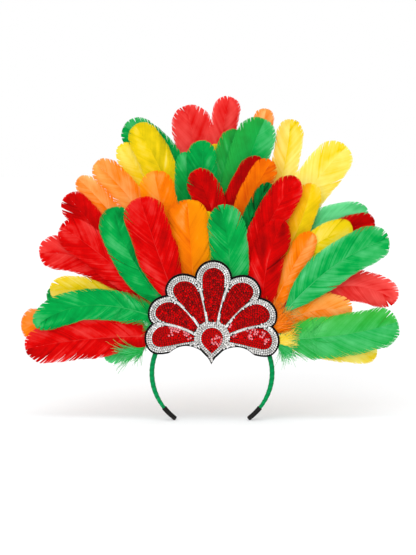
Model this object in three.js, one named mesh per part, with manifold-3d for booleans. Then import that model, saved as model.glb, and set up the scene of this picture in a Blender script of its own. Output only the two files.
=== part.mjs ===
// Carnival feather headdress: a ribbon-wrapped headband, a felt core seated on its crown, a fan of
// dyed goose feathers set in the core, and a sequinned palmette badge in front of the quills.
// Millimetres, +Z up. The front faces -Y. The origin is the inside of the band's crown, where the
// headdress sits on a head.
import * as THREE from "three";
import { mergeVertices } from "three/addons/utils/BufferGeometryUtils.js";
import Module from "manifold-3d";

const wasm = await Module();
wasm.setup();

// Fits
const GAP = 0.3; // clearance between pieces that touch on the real object

// Headband: an open hoop in the XZ plane, slimmer towards its ends
const BAND_RADIUS = 67.6; // half the hoop's width, at the middle of the band's thickness
const BAND_OVAL = 0.96; // height of the hoop over its width
const BAND_THICK = 5.4;
const BAND_WIDTH = 8; // front to back
const BAND_END_SHARE = 0.64; // of the thickness and width, left at the ends
const BAND_TAPER_FROM = 95; // degrees from the crown
const BAND_REACH = 143; // degrees from the crown to the tip of each end cap
const BAND_SIDES = 10;
const BAND_STEP = 7; // degrees
const BAND_SQUARENESS = 0.7; // 1 is an ellipse, 0 a rectangle

// End caps: moulded sleeves over the band's ends
const CAP_LENGTH = 19;
const CAP_WALL = 0.6;
const CAP_FLOOR = 4; // solid stretch past the end of the band
const CAP_ROUND = 2; // length of the rounded end

// Core: a felt crescent glued on the crown, with the quills in its rim
const CORE_HEIGHT = 11.2;
const CORE_REACH = 64; // degrees from the crown
const CORE_STEP = 4; // degrees

// Feathers: layers from front (0) to back, which lean further back one behind the other
const LAYERS = 14;
const LAYER_PITCH = 1.45;
const LEAN_FRONT = 0.02; // depth gained for each millimetre away from the core
const LEAN_BACK = 0.34;
const RECURVE = 0.25; // share of the lean that a long feather loses by its tip
const LONGEST_RUN = 235;
const QUILL_WIDTH = 2.4;
const QUILL_THICK = 1;
const TIP_SHAFT_THICK = 0.8;
const VANE_EDGE_THICK = 0.6;
const CUP_SHARE = 0.3; // of the free depth between two layers
const BOW_AT = 0.6; // share of the way to the tip where a feather bends most
const QUILL_SHARE = 0.05; // bare share of the way from the root to the tip's rounding
const VANE_FULLNESS = 2.3; // how soon the vane swells from the quill to its widest place
const VANE_GROWTH = [0, 0.16, 0.38, 0.68, 1]; // sections between those two places
const VANE_TIP_TURNS = [0, 28, 52, 72, 86]; // degrees round the tip

// Badge: a fan of petals round a drop, in its own plane, with the drop's centre as its origin
const BADGE_HEIGHT = -21.5; // of the drop's centre, from the inside of the crown
const BADGE_TILT = 1.4; // degrees clockwise, seen from the front
const FELT_THICK = 1.5;
const FELT_MARGIN = 2.2; // black edge that shows round the silver border
const LOW_MARGIN_SHARE = 0.4; // how much of it shows along the hollows and the point
const BORDER_WIDTH = 6.6;
const BORDER_THICK = 2;
const FIELD_THICK = 1.6; // red sequin fields
const FIELD_BEVEL = 0.5;
const ARC_POINTS = 6;
const OUTLINE_STRAY = 0.04; // how far an outline may stray where it is drawn with fewer points
const PETAL_BELLY = 0.62; // share of the way from foot to head where the sides swell
const DROP_RADIUS = 12;
const DROP_POINT = 17; // from the drop's centre down to its point
const DROP_RING = 4.6; // silver round the drop
const PEAK_POINT = 28; // from the drop's centre down to the border's point
const PEAK_SHOULDER = 22; // half-width of the border where the point begins
const PEAK_WAIST = [5, -15]; // hollow of the curve between shoulder and point
const SCOOP_CENTRE = [28, -35]; // hollow on each side between the point and the lowest petal
const SCOOP_RADIUS = 26.5;
const SCOOP_SIDES = 40;
const LOBE_ROUND = 9; // smallest rounding of the lobes' corners, where a hollow cuts into them

const DEG = Math.PI / 180;
const BAND_CENTRE_Z = -(BAND_RADIUS - BAND_THICK / 2) * BAND_OVAL;
const CORE_INNER = BAND_RADIUS + BAND_THICK / 2 + GAP;
const CORE_RIM = CORE_INNER + CORE_HEIGHT;
const ROOT_RADIUS = CORE_RIM + GAP;
const CORE_DEPTH = (LAYERS - 1) * LAYER_PITCH + QUILL_THICK + 2 * GAP;
const CAP_ARC = CAP_LENGTH / BAND_RADIUS / DEG;
const BAND_END = BAND_REACH - CAP_FLOOR / BAND_RADIUS / DEG;

// Rows of plain values as objects with named columns.
function table(columns, rows) {
  return rows.map((row) => Object.fromEntries(columns.map((name, i) => [name, row[i]])));
}

// root: place of the quill on the core's rim, in degrees from the crown.
// tip_x and tip_z: where the feather ends, seen from the front.
// bow: how far it bends to the left of its way to the tip. width: across the vane.
// belly: where the vane is widest. tip: length of the rounded tip over half the width.
const FEATHERS = table(
  ["name", "dye", "layer", "root", "tip_x", "tip_z", "bow", "width", "belly", "tip"],
  [
    ["left_green_tuft", "green", 2, -61, -121, -44, 3, 22, 0.5, 1.6],
    ["left_red_low", "red", 1, -57, -210, -35, -8, 46, 0.6, 1.3],
    ["left_orange_low", "orange", 6, -50, -217, -9, 0, 38, 0.7, 0.8],
    ["left_green_low", "green", 0, -41, -198, -9, -43, 36, 0.45, 1.9],
    ["left_green_hidden", "green", 8, -45, -188, 21, -18, 27, 0.6, 1.2],
    ["left_yellow_low", "yellow", 5, -36, -183, 29, -20, 32, 0.5, 1.3],
    ["left_red_outer", "red", 4, -38, -195, 72, -40, 41, 0.8, 1.1],
    ["left_red_middle", "red", 3, -36, -170, 103, -9, 40, 0.75, 1.1],
    ["left_red_back", "red", 6, -30, -164, 138, 6, 34, 0.8, 1.1],
    ["left_orange_outer", "orange", 7, -28, -152, 156, -14, 25, 0.8, 1.3],
    ["left_orange_inner", "orange", 8, -22, -133, 173, -28, 33, 0.85, 1.2],
    ["left_yellow_back", "yellow", 10, -17, -106, 193, -27, 34, 0.75, 1.5],
    ["left_yellow_top", "yellow", 9, -14, -88, 216, -27, 39, 0.75, 1.25],
    ["left_green_curl", "green", 11, -11, -101, 215, -66, 42, 0.45, 1.1],
    ["left_orange_short", "orange", 3, -18, -65, 165, 4, 40, 0.8, 1.1],
    ["left_red_front", "red", 0, -25.5, -80, 136, 4, 48, 0.65, 0.8],
    ["left_green_front", "green", 2, -31, -109, 125, 22, 43, 0.75, 1.1],
    ["centre_orange_front", "orange", 2, -13, -28, 133, 0, 45, 0.7, 0.8],
    ["centre_yellow", "yellow", 3, -4, -6, 120, 0, 27, 0.6, 1.1],
    ["centre_green_front", "green", 1, 13, 8, 127, -12, 44, 0.65, 1.4],
    ["centre_red_short", "red", 4, 2, -21, 165, -29, 36, 0.75, 1.2],
    ["centre_red_long", "red", 6, 7, 56, 179, 31, 30, 0.8, 1.2],
    ["centre_green_back", "green", 7, -1, -11, 199, 3, 36, 0.8, 1.1],
    ["centre_green_side", "green", 8, -8, -27, 186, 11, 29, 0.7, 1.2],
    ["centre_yellow_back", "yellow", 10, 1, 4, 195, 0, 20, 0.7, 1.2],
    ["top_red_left", "red", 13, -5, -30, 239, -13, 49, 0.88, 1.1],
    ["top_red_right", "red", 12, 4, 21, 249, 18, 33, 0.86, 1.1],
    ["right_green_inner", "green", 9, 9, 29, 211, 20, 34, 0.8, 1.2],
    ["right_green_top", "green", 8, 11, 60, 223, 20, 47, 0.82, 1.15],
    ["right_orange_top", "orange", 10, 14, 62, 235, 0, 25, 0.8, 1.1],
    ["right_yellow_inner", "yellow", 9, 17, 89, 223, -22, 32, 0.82, 1.2],
    ["right_yellow_top", "yellow", 8, 26, 153, 192, 21, 46, 0.85, 1],
    ["right_orange_middle", "orange", 5, 12, 68, 176, 24, 31, 0.75, 1.3],
    ["right_green_slim", "green", 3, 16, 66, 151, 21, 20, 0.65, 2],
    ["right_red_long", "red", 2, 21, 96, 157, 17, 38, 0.65, 1.4],
    ["right_red_front", "red", 0, 42, 80, 110, 15, 38, 0.6, 1.5],
    ["right_yellow_slim", "yellow", 4, 30, 112, 151, -18, 29, 0.7, 1.3],
    ["right_green_back", "green", 6, 33, 177, 116, 65, 29, 0.65, 1.4],
    ["right_red_back", "red", 5, 36, 184, 106, 45, 27, 0.7, 1.2],
    ["right_yellow_middle", "yellow", 3, 38, 158, 100, 36, 31, 0.8, 1.1],
    ["right_orange_front", "orange", 2, 45, 113, 96, 3, 28, 0.65, 1.8],
    ["right_green_front", "green", 1, 52, 198, 89, 28, 44, 0.7, 1.1],
    ["right_red_middle", "red", 4, 48, 208, 18, 58, 37, 0.7, 1.3],
    ["right_orange_low", "orange", 3, 54, 157, 5, 26, 36, 0.6, 1.5],
    ["right_green_low", "green", 0, 60, 208, -3, -12, 49, 0.4, 0.95],
    ["right_yellow_low", "yellow", 5, 62, 187, -41, -4, 26, 0.65, 1.4],
  ],
);

// angle: of the petal's axis, clockwise from straight up. reach: from the drop's centre to its end.
// inner: where it begins. foot and head: its half-widths at the beginning and at the round end.
// bow: how far its axis bends up in the middle.
const PETALS = table(
  ["name", "angle", "inner", "reach", "foot", "head", "bow"],
  [
    ["petal_left_low", -91.5, 20, 67, 2.7, 11.4, 3],
    ["petal_left_middle", -63.3, 20, 70, 2.6, 11.6, 4],
    ["petal_left_upper", -33, 20, 73, 3.2, 12.2, 2.9],
    ["petal_top", 0, 18.5, 79, 4, 12.3, 0],
    ["petal_right_upper", 33, 20, 73, 3.2, 12.2, 2.9],
    ["petal_right_middle", 63.3, 20, 70, 2.6, 11.6, 4],
    ["petal_right_low", 91.5, 20, 67, 2.7, 11.4, 3],
  ],
);

const finish = (color, roughness, metalness = 0) =>
  new THREE.MeshStandardMaterial({ color, roughness, metalness });
const FINISHES = {
  red: finish(0xd8100c, 0.6),
  green: finish(0x0a9a48, 0.6),
  orange: finish(0xf98a12, 0.6),
  yellow: finish(0xf6de2e, 0.6),
  ribbon: finish(0x0b8a48, 0.4),
  cap: finish(0x1b1916, 0.45),
  felt: finish(0x0c0c0c, 0.95),
  silver: finish(0xd6d6d2, 0.3, 0.8),
  sequins: finish(0xb8060c, 0.3, 0.3),
};

// A point in the XZ plane, round the band's centre from straight up.
function round(radius, degrees, y = 0) {
  const angle = degrees * DEG;
  return new THREE.Vector3(
    radius * Math.sin(angle),
    y,
    BAND_CENTRE_Z + BAND_OVAL * radius * Math.cos(angle),
  );
}

// A closed body through loops of equally many points.
function loft(loops) {
  const count = loops[0].length;
  const last = (loops.length - 1) * count;
  const faces = [];
  for (let i = 0; i < last; i += count) {
    for (let j = 0; j < count; j++) {
      const next = (j + 1) % count;
      faces.push(i + j, i + count + next, i + next);
      faces.push(i + j, i + count + j, i + count + next);
    }
  }
  for (let j = 1; j < count - 1; j++) {
    faces.push(0, j, j + 1);
    faces.push(last, last + j + 1, last + j);
  }
  return new THREE.BufferGeometry().setFromPoints(loops.flat()).setIndex(faces);
}

// A geometry as a solid that can be joined and cut.
function solid(geometry) {
  const bare = geometry.clone();
  bare.deleteAttribute("normal");
  bare.deleteAttribute("uv");
  const merged = mergeVertices(bare, 1e-3);
  return new wasm.Manifold(
    new wasm.Mesh({
      numProp: 3,
      vertProperties: merged.attributes.position.array,
      triVerts: new Uint32Array(merged.index.array),
    }),
  );
}

// A solid back as a geometry.
function geometryOf(body) {
  const mesh = body.getMesh();
  return new THREE.BufferGeometry()
    .setAttribute("position", new THREE.BufferAttribute(mesh.vertProperties, 3))
    .setIndex(new THREE.BufferAttribute(mesh.triVerts, 1));
}

function addPiece(parent, name, geometry, material) {
  geometry.computeVertexNormals();
  const piece = new THREE.Mesh(geometry, material);
  piece.name = name;
  parent.add(piece);
  return piece;
}

// The band's section at an angle, grown by a margin and shrunk by a share.
function bandLoop(degrees, margin = 0, share = 1) {
  const taper = THREE.MathUtils.smoothstep(Math.abs(degrees), BAND_TAPER_FROM, BAND_REACH);
  const left = THREE.MathUtils.lerp(1, BAND_END_SHARE, taper);
  const thick = ((BAND_THICK / 2) * left + margin) * share;
  const wide = ((BAND_WIDTH / 2) * left + margin) * share;
  const squared = (value) => Math.sign(value) * Math.abs(value) ** BAND_SQUARENESS;
  return Array.from({ length: BAND_SIDES }, (_, i) => {
    const turn = (i / BAND_SIDES) * 2 * Math.PI;
    return round(
      BAND_RADIUS + thick * squared(Math.cos(turn)),
      degrees,
      wide * squared(Math.sin(turn)),
    );
  });
}

// Angles from one to another in equal steps no longer than the given one.
function angles(from, to, step) {
  const count = Math.ceil(Math.abs(to - from) / step);
  return Array.from({ length: count + 1 }, (_, i) => from + ((to - from) * i) / count);
}

function headband() {
  return loft(angles(-BAND_END, BAND_END, BAND_STEP).map((a) => bandLoop(a)));
}

// A sleeve with a rounded end over the right-hand end of the band. side is 1, or -1 for the left.
function endCap(side) {
  const mouth = BAND_REACH - CAP_ARC;
  const roundFrom = BAND_REACH - CAP_ROUND / BAND_RADIUS / DEG;
  const wall = CAP_WALL + GAP;
  const body = angles(mouth, roundFrom, BAND_STEP).map((a) => bandLoop(a, wall));
  const end = [30, 60, 80].map((turn) =>
    bandLoop(
      roundFrom + (BAND_REACH - roundFrom) * Math.sin(turn * DEG),
      wall,
      0.55 + 0.45 * Math.cos(turn * DEG),
    ),
  );
  const past = GAP / BAND_RADIUS / DEG;
  const socket = angles(mouth - 1, BAND_END + past, BAND_STEP).map((a) => bandLoop(a, GAP));
  const cap = geometryOf(solid(loft([...body, ...end])).subtract(solid(loft(socket))));
  return side > 0 ? cap : mirrored(cap);
}

// The same body on the other side of the YZ plane, with its faces turned back out.
function mirrored(geometry) {
  const copy = geometry.clone().scale(-1, 1, 1);
  const faces = copy.index.array;
  for (let i = 0; i < faces.length; i += 3) {
    [faces[i + 1], faces[i + 2]] = [faces[i + 2], faces[i + 1]];
  }
  return copy;
}

function core() {
  const front = -CORE_DEPTH / 2;
  const back = CORE_DEPTH / 2;
  return loft(
    angles(-CORE_REACH, CORE_REACH, CORE_STEP).map((a) => [
      round(CORE_RIM, a, front),
      round(CORE_RIM, a, back),
      round(CORE_INNER, a, back),
      round(CORE_INNER, a, front),
    ]),
  );
}

// The depth of a feather layer at a distance from the band's centre.
function layerDepth(layer, radius) {
  const run = Math.max(0, radius - ROOT_RADIUS);
  const lean = THREE.MathUtils.lerp(LEAN_FRONT, LEAN_BACK, layer / (LAYERS - 1));
  const base = (layer - (LAYERS - 1) / 2) * LAYER_PITCH;
  return base + lean * run * (1 - (RECURVE * run) / LONGEST_RUN);
}

// A feather as one blade: a bare quill, a vane that cups a little, and a shaft along its middle.
function feather({ layer, root, tip_x, tip_z, bow, width, belly, tip }) {
  const start = round(ROOT_RADIUS, root);
  const from = new THREE.Vector2(start.x, start.z);
  const to = new THREE.Vector2(tip_x, tip_z);
  const chord = to.clone().sub(from);
  const left = new THREE.Vector2(-chord.y, chord.x).normalize();
  const bend = from.clone().addScaledVector(chord, BOW_AT).addScaledVector(left, bow);
  const shaft = new THREE.QuadraticBezierCurve(from, bend, to);

  const tipShare = (tip * width) / 2 / shaft.getLength();
  const sections = [
    { along: 0, spread: 0 },
    ...VANE_GROWTH.map((grown) => ({
      along: THREE.MathUtils.lerp(QUILL_SHARE, belly, grown) * (1 - tipShare),
      spread: 1 - (1 - grown) ** VANE_FULLNESS,
    })),
    ...VANE_TIP_TURNS.map((turn) => ({
      along: 1 - tipShare + tipShare * Math.sin(turn * DEG),
      spread: Math.cos(turn * DEG),
    })),
  ];
  const cupSide = layer % 2 === 0 ? 1 : -1;
  const outward = new THREE.Vector2(from.x, from.y - BAND_CENTRE_Z).normalize();

  return loft(
    sections.map(({ along, spread }) => {
      const middle = shaft.getPointAt(along);
      const ahead = along > 0 ? shaft.getTangentAt(along) : outward;
      const across = new THREE.Vector2(-ahead.y, ahead.x);
      const half = Math.max(QUILL_WIDTH, width * spread) / 2;
      const thick = THREE.MathUtils.lerp(QUILL_THICK, TIP_SHAFT_THICK, along);
      const edgeThick = THREE.MathUtils.lerp(QUILL_THICK, VANE_EDGE_THICK, Math.min(1, 2 * spread));
      const place = (side, thickness) => {
        const at = middle.clone().addScaledVector(across, side * half);
        const radius = Math.hypot(at.x, at.y - BAND_CENTRE_Z);
        const room = layerDepth(layer + 1, radius) - layerDepth(layer, radius) - QUILL_THICK;
        const cup = cupSide * CUP_SHARE * room * (side * spread) ** 2;
        const depth = layerDepth(layer, radius) + cup;
        return [-1, 1].map((face) => new THREE.Vector3(at.x, depth + (face * thickness) / 2, at.y));
      };
      const [leftFront, leftBack] = place(1, edgeThick);
      const [shaftFront, shaftBack] = place(0, thick);
      const [rightFront, rightBack] = place(-1, edgeThick);
      return [leftFront, leftBack, shaftBack, rightBack, rightFront, shaftFront];
    }),
  );
}

// A petal's outline: sides that swell from a blunt foot to a round head, on an axis that bows up.
function petalShape({ angle, inner, reach, foot, head, bow }, margin = 0) {
  const wide = head + margin;
  const centre = reach - head;
  const begin = inner - margin;
  const belly = THREE.MathUtils.lerp(begin, centre, PETAL_BELLY);
  const straight = new THREE.Shape();
  straight.moveTo(-(foot + margin), begin);
  straight.lineTo(foot + margin, begin);
  straight.quadraticCurveTo(wide, belly, wide, centre);
  straight.absarc(0, centre, wide, 0, Math.PI, false);
  straight.quadraticCurveTo(-wide, belly, -(foot + margin), begin);

  const middle = new THREE.Vector2();
  const bent = straight.getPoints(ARC_POINTS).map(({ x, y }) => {
    const along = THREE.MathUtils.clamp((y - inner) / (reach - inner), 0, 1);
    const aside = -Math.sign(angle) * bow * 4 * along * (1 - along);
    return new THREE.Vector2(x + aside, y).rotateAround(middle, -angle * DEG);
  });
  return new THREE.Shape(bent);
}

// The drop's outline: a circle drawn down to a point.
function dropShape(margin = 0) {
  const radius = DROP_RADIUS + margin;
  const point = DROP_POINT + 1.4 * margin;
  const from = Math.acos(radius / point) - Math.PI / 2;
  const shape = new THREE.Shape();
  shape.moveTo(0, -point);
  shape.lineTo(radius * Math.cos(from), radius * Math.sin(from));
  shape.absarc(0, 0, radius, from, Math.PI - from, false);
  shape.closePath();
  return shape;
}

// The hollow-sided point that the silver border makes under the drop.
function peakShape(margin = 0) {
  const [waistX, waistY] = PEAK_WAIST;
  const shape = new THREE.Shape();
  shape.moveTo(0, -PEAK_POINT - 1.6 * margin);
  shape.quadraticCurveTo(waistX + margin, waistY - margin, PEAK_SHOULDER, -8 - margin);
  shape.lineTo(0, 0);
  shape.lineTo(-PEAK_SHOULDER, -8 - margin);
  shape.quadraticCurveTo(-waistX - margin, waistY - margin, 0, -PEAK_POINT - 1.6 * margin);
  return shape;
}

function plate(shape, from, thick, bevel = 0) {
  const geometry = new THREE.ExtrudeGeometry(shape, {
    depth: thick - 2 * bevel,
    curveSegments: ARC_POINTS,
    bevelEnabled: bevel > 0,
    bevelThickness: bevel,
    bevelSize: bevel,
    bevelOffset: -bevel,
    bevelSegments: 1,
  });
  return geometry.translate(0, 0, from + bevel);
}

// The flat area inside a shape.
function area(shape) {
  return new wasm.CrossSection([shape.getPoints(ARC_POINTS).map(({ x, y }) => [x, y])]);
}

// The border's outline, grown by a margin: round lobes, a hollow on each side, and a point.
function badgeOutline(margin) {
  const lobes = PETALS.map((row) => area(petalShape(row, BORDER_WIDTH + margin)));
  const [x, y] = SCOOP_CENTRE;
  const lowMargin = LOW_MARGIN_SHARE * margin;
  const scoop = wasm.CrossSection.circle(SCOOP_RADIUS - lowMargin, SCOOP_SIDES);
  return lobes
    .reduce((all, lobe) => all.add(lobe), area(dropShape(DROP_RING + margin)))
    .subtract(scoop.translate([x, y]))
    .subtract(scoop.translate([-x, y]))
    .offset(-LOBE_ROUND, "Round", 2, SCOOP_SIDES)
    .offset(LOBE_ROUND, "Round", 2, SCOOP_SIDES)
    .add(area(peakShape(lowMargin)))
    .simplify(OUTLINE_STRAY);
}

function badge() {
  const group = new THREE.Group();
  const borderFrom = FELT_THICK + GAP;
  const felt = badgeOutline(FELT_MARGIN).extrude(FELT_THICK);
  addPiece(group, "badge_felt", geometryOf(felt), FINISHES.felt);

  const windows = [...PETALS.map((row) => petalShape(row, GAP)), dropShape(GAP)];
  const border = windows
    .reduce((left, shape) => left.subtract(area(shape)), badgeOutline(0))
    .extrude(BORDER_THICK)
    .translate([0, 0, borderFrom]);
  addPiece(group, "silver_border", geometryOf(border), FINISHES.silver);

  for (const row of PETALS) {
    const field = plate(petalShape(row), borderFrom, FIELD_THICK, FIELD_BEVEL);
    addPiece(group, row.name, field, FINISHES.sequins);
  }
  const drop = plate(dropShape(), borderFrom, FIELD_THICK, FIELD_BEVEL);
  addPiece(group, "centre_drop", drop, FINISHES.sequins);

  group.position.set(0, -CORE_DEPTH / 2 - GAP, BADGE_HEIGHT);
  group.rotation.set(Math.PI / 2, 0, -BADGE_TILT * DEG);
  return group;
}

const headdress = new THREE.Group();
addPiece(headdress, "headband", headband(), FINISHES.ribbon);
addPiece(headdress, "end_cap_left", endCap(-1), FINISHES.cap);
addPiece(headdress, "end_cap_right", endCap(1), FINISHES.cap);
addPiece(headdress, "felt_core", core(), FINISHES.felt);
for (const row of FEATHERS) {
  addPiece(headdress, `feather_${row.name}`, feather(row), FINISHES[row.dye]);
}
headdress.add(badge());

export default headdress;
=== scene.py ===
import bpy
import numpy as np
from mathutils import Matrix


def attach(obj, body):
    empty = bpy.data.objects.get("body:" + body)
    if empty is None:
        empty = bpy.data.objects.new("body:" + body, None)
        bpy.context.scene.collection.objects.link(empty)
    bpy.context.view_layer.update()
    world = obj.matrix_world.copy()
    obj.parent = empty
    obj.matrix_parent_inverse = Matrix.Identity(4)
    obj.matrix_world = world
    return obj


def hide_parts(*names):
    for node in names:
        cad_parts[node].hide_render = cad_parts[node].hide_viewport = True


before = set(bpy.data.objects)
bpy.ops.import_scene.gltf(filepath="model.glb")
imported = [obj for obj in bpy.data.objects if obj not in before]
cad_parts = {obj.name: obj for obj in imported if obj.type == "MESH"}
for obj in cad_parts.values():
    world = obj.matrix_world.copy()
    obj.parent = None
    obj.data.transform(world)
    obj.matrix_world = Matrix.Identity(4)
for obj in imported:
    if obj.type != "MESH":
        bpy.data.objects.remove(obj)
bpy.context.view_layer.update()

# Headband
# A springy plastic hoop wound edge over edge with narrow green satin ribbon, so no plastic shows.
# The ribbon starts under one end cap, runs over the crown and ends under the other.
MM = 0.001
HOOP_RADIUS = 67.6
HOOP_OVAL = 0.96
HOOP_CENTRE_Z = -62.3
BAND_HALF_THICK = 2.7
BAND_HALF_WIDE = 4.0
BAND_END_SHARE = 0.64
TAPER_FROM = 95.0
HOOP_REACH = 143.0
BAND_END = 139.6
SQUARENESS = 0.7
RIBBON_PITCH = 6.5
RIBBON_LAP = 0.3  # how far the ribbon's upper edge stands off
LAP_EDGE = 0.06  # share of the ribbon's width that this edge takes
RIBBON_SINK = 0.08
RIBBON_STEPS = 700
RIBBON_SIDES = 28


def smooth(value):
    """A soft step from 0 to 1."""
    value = np.clip(value, 0.0, 1.0)
    return value * value * (3.0 - 2.0 * value)


def hoop_loops(turns, margin, share, sides):
    """Rounded loops round the hoop's path at each turn from the crown, in degrees."""
    turns = np.asarray(turns, float)[:, None]
    tapered = smooth((np.abs(turns) - TAPER_FROM) / (HOOP_REACH - TAPER_FROM))
    left = 1.0 + (BAND_END_SHARE - 1.0) * tapered
    around = np.linspace(0.0, 2.0 * np.pi, sides, endpoint=False)[None, :]
    thick = (BAND_HALF_THICK * left + margin) * share
    wide = (BAND_HALF_WIDE * left + margin) * share
    radius = HOOP_RADIUS + thick * np.sign(np.cos(around)) * np.abs(np.cos(around)) ** SQUARENESS
    depth = wide * np.sign(np.sin(around)) * np.abs(np.sin(around)) ** SQUARENESS
    angle = np.radians(turns)
    height = HOOP_CENTRE_Z + HOOP_OVAL * radius * np.cos(angle)
    return np.stack([radius * np.sin(angle), depth + 0.0 * angle, height], axis=-1)


def loft(loops):
    """The points and faces of a closed skin through loops of equally many points."""
    count, sides = loops.shape[:2]
    row = np.arange(count - 1)[:, None] * sides
    side = np.arange(sides)[None, :]
    after = (side + 1) % sides
    quads = np.stack([row + side, row + sides + side, row + sides + after, row + after], axis=-1)
    first = list(range(sides))
    last = list(range((count - 1) * sides, count * sides))
    return loops.reshape(-1, 3), quads.reshape(-1, 4).tolist() + [first, last[::-1]]


def place(name, data):
    """A new object in the scene."""
    made = bpy.data.objects.new(name, data)
    bpy.context.collection.objects.link(made)
    return made


def add_piece(name, points, faces, finish, stands_for=(), soft=True):
    """A mesh piece of the headdress, with its faces turned outwards."""
    mesh = bpy.data.meshes.new(name)
    mesh.from_pydata((points * MM).tolist(), [], faces)
    tips = [(face[0], face[i], face[i + 1]) for face in faces for i in range(1, len(face) - 1)]
    a, b, c = points[np.array(tips)].transpose(1, 0, 2)
    if np.einsum("ij,ij->", a, np.cross(b, c)) < 0.0:
        mesh.flip_normals()
    mesh.polygons.foreach_set("use_smooth", [soft] * len(mesh.polygons))
    mesh.materials.append(finish)
    piece = place(name, mesh)
    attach(piece, "root")
    if stands_for:
        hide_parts(*stands_for)
    return piece


def mark(piece, name, values):
    """A number for each point of a piece, for its finish to read."""
    layer = piece.data.attributes.new(name, "FLOAT", "POINT")
    layer.data.foreach_set("value", np.asarray(values, np.float32).ravel())


def shade(red, green, blue):
    """A colour as the eye names it, from 0 to 255, as the light that it reflects."""
    part = np.array([red, green, blue]) / 255.0
    light = np.where(part <= 0.04045, part / 12.92, ((part + 0.055) / 1.055) ** 2.4)
    return (*light.tolist(), 1.0)


def start_finish(name, roughness, **sockets):
    """A new finish, its node tree and its shader, with the shader's plain sockets set."""
    finish = bpy.data.materials.new(name)
    finish.use_nodes = True
    shader = finish.node_tree.nodes["Principled BSDF"]
    shader.inputs["Roughness"].default_value = roughness
    for socket, value in sockets.items():
        shader.inputs[socket.replace("_", " ")].default_value = value
    return finish, finish.node_tree, shader


def node(tree, kind, sockets=(), **settings):
    """A new node with its settings, and its sockets set to values or linked to other nodes."""
    made = tree.nodes.new(kind)
    for name, value in settings.items():
        setattr(made, name, value)
    for name, value in dict(sockets).items():
        if isinstance(value, bpy.types.NodeSocket):
            tree.links.new(value, made.inputs[name])
        else:
            made.inputs[name].default_value = value
    return made


def ramp(tree, factor, *stops):
    """Colours at places along a factor, with soft steps between them."""
    made = node(tree, "ShaderNodeValToRGB", {"Fac": factor})
    while len(made.color_ramp.elements) < len(stops):
        made.color_ramp.elements.new(0.5)
    for element, (place, colour) in zip(made.color_ramp.elements, stops):
        element.position = place
        element.color = colour
    return made.outputs["Color"]


def colour_by(tree, shader, factor, *stops):
    """Colours at places along a factor, as the shader's own colour."""
    tree.links.new(ramp(tree, factor, *stops), shader.inputs["Base Color"])


def rough_up(tree, shader, scale, strength, distance):
    """A fine uneven surface, as a bump on the shader."""
    where = node(tree, "ShaderNodeTexCoord").outputs["Object"]
    grain = node(tree, "ShaderNodeTexNoise", {"Vector": where, "Scale": scale, "Detail": 3.0})
    relief = {"Height": grain.outputs["Fac"], "Strength": strength, "Distance": distance}
    bump = node(tree, "ShaderNodeBump", relief)
    tree.links.new(bump.outputs["Normal"], shader.inputs["Normal"])
    return grain.outputs["Fac"]


satin, tree, shader = start_finish("green_satin_ribbon", 0.5, Specular_IOR_Level=0.05)
rough_up(tree, shader, 1400.0, 0.25, 0.0003)
lap = node(tree, "ShaderNodeAttribute", attribute_name="lap").outputs["Fac"]
# The ramp darkens each winding towards its lapped edges: painted shade in the step where one winding lies
# over the next.
colour_by(
    tree,
    shader,
    lap,
    (0.0, shade(0, 84, 42)),
    (0.12, shade(0, 124, 66)),
    (0.7, shade(0, 142, 78)),
    (1.0, shade(0, 104, 54)),
)

turns = np.linspace(-BAND_END, BAND_END, RIBBON_STEPS)
around = np.linspace(0.0, 1.0, RIBBON_SIDES, endpoint=False)[None, :]
wound = np.radians(turns)[:, None] * HOOP_RADIUS / RIBBON_PITCH + around
lapped = wound % 1.0
lift = RIBBON_LAP * (1.0 - lapped) * smooth(lapped / LAP_EDGE) - RIBBON_SINK
points, faces = loft(hoop_loops(turns, lift, 1.0, RIBBON_SIDES))
ribbon = add_piece("ribbon_band", points, faces, satin, ["headband"])
mark(ribbon, "lap", lapped)

# End caps
# Short black sleeves of soft plastic, dipped or pushed over the band's ends so that they grip gently
# and don't scratch. Each has a rolled mouth and a closed round tip.
CAP_MOUTH = 126.9
CAP_WALL = 0.9
CAP_SOCKET = 0.33
CAP_TIP_ROUND = 1.6
CAP_TIP_SHARE = 0.35  # of the cap's thickness, left where its round tip closes
LIP_ROLL = 0.45
CAP_SIDES = 28
SOCKET_ROWS, LIP_ROWS, WALL_ROWS = 8, 7, 16

black_plastic, tree, shader = start_finish("black_dipped_plastic", 0.45, Specular_IOR_Level=0.15)
worn = rough_up(tree, shader, 900.0, 0.12, 0.0002)
colour_by(tree, shader, worn, (0.3, shade(8, 7, 7)), (0.7, shade(20, 18, 16)))

tip_turn = CAP_TIP_ROUND / HOOP_RADIUS * 180.0 / np.pi
round_turns = np.radians(np.array([0.0, 22.0, 45.0, 65.0, 80.0, 88.0]))
socket_turns = np.linspace(BAND_END + 0.5, CAP_MOUTH + 0.5, SOCKET_ROWS)
lip_turns = CAP_MOUTH + LIP_ROLL * (1.0 - np.sin(np.linspace(0.0, np.pi, LIP_ROWS)))
wall_turns = np.linspace(CAP_MOUTH + 0.6, HOOP_REACH - tip_turn, WALL_ROWS)
end_turns = HOOP_REACH - tip_turn + tip_turn * np.sin(round_turns)
cap_turns = np.concatenate([socket_turns, lip_turns, wall_turns, end_turns])
cap_margins = np.concatenate(
    [
        np.full(SOCKET_ROWS, CAP_SOCKET),
        CAP_SOCKET + (CAP_WALL - CAP_SOCKET) * smooth(np.linspace(0.0, 1.0, LIP_ROWS)),
        np.full(WALL_ROWS + len(round_turns), CAP_WALL),
    ]
)[:, None]
closing = CAP_TIP_SHARE + (1.0 - CAP_TIP_SHARE) * np.cos(round_turns)
cap_shares = np.concatenate([np.ones(SOCKET_ROWS + LIP_ROWS + WALL_ROWS), closing])[:, None]
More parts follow.
